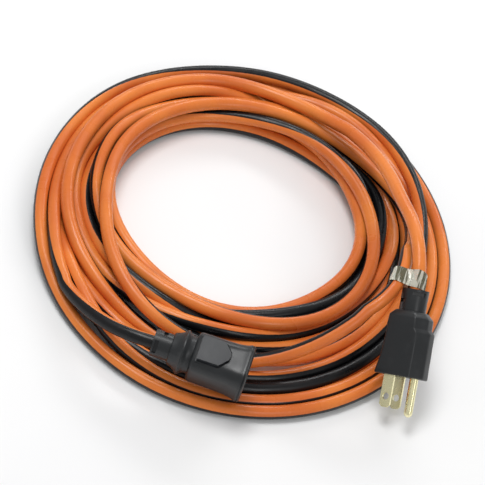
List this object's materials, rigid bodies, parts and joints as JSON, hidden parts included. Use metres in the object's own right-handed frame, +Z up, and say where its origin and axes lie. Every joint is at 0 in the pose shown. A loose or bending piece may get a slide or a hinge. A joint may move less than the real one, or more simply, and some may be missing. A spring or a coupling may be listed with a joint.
{
  "type": "extension cord",
  "caption": "Coiled three-wire extension cord with a three-pin plug, a locking connector with a release button and a clear tie band.",
  "frame": {"origin": "middle of the coiled cord's footprint, on the surface it lies on", "axes": "+Z up, out of the coil; -Y towards the side where the connector lies; +X towards the side where the plug hangs over the rim"},
  "size_m": [0.248, 0.2521, 0.0642],
  "materials": {
    "jacket": "satin",
    "clear_strap": "gloss",
    "black_pvc": "satin",
    "button_plastic": "satin",
    "insert": "matte",
    "brass": "satin",
    "steel": "satin",
    "copper": "satin",
    "black_wire": "satin",
    "white_wire": "satin",
    "green_wire": "satin"
  },
  "bodies": {
    "cord_set": {"cord_coil": "jacket", "plug_lead": "jacket", "connector_lead": "jacket", "tie_band": "clear_strap", "plug_overmold": "black_pvc", "plug_strain_relief": "black_pvc", "plug_bridge": "insert", "hot_blade": "brass", "neutral_blade": "brass", "ground_pin": "brass", "plug_hot_wire": "black_wire", "plug_neutral_wire": "white_wire", "plug_ground_wire": "green_wire", "plug_wire_strands": "copper", "connector_overmold": "black_pvc", "connector_strain_relief": "black_pvc", "contact_carrier": "insert", "hot_contact": "brass", "neutral_contact": "brass", "ground_contact": "brass", "connector_hot_wire": "black_wire", "connector_neutral_wire": "white_wire", "connector_ground_wire": "green_wire", "connector_wire_strands": "copper", "button_spring": "steel", "lever_pin": "steel"},
    "release_button": {"release_button": "button_plastic"},
    "lock_lever": {"lock_lever": "steel"}
  },
  "joints": [
    {"name": "button_press", "type": "slide", "parent": "cord_set", "child": "release_button", "axis": [0, 0.2079, -0.9781], "range_m": [0, 0.0015], "stiffness_N_per_m": 1500, "springref_m": -0.003, "deforming": ["button_spring"]},
    {"name": "lever_tip", "type": "hinge", "parent": "cord_set", "child": "lock_lever", "pos_m": [0.008, -0.11867, 0.02826], "axis": [0, -0.9781, -0.2079], "range_deg": [0, 14]}
  ],
  "couplings": [
    {"joint": "lever_tip", "follows": "button_press", "rad_per_m": 160}
  ]
}
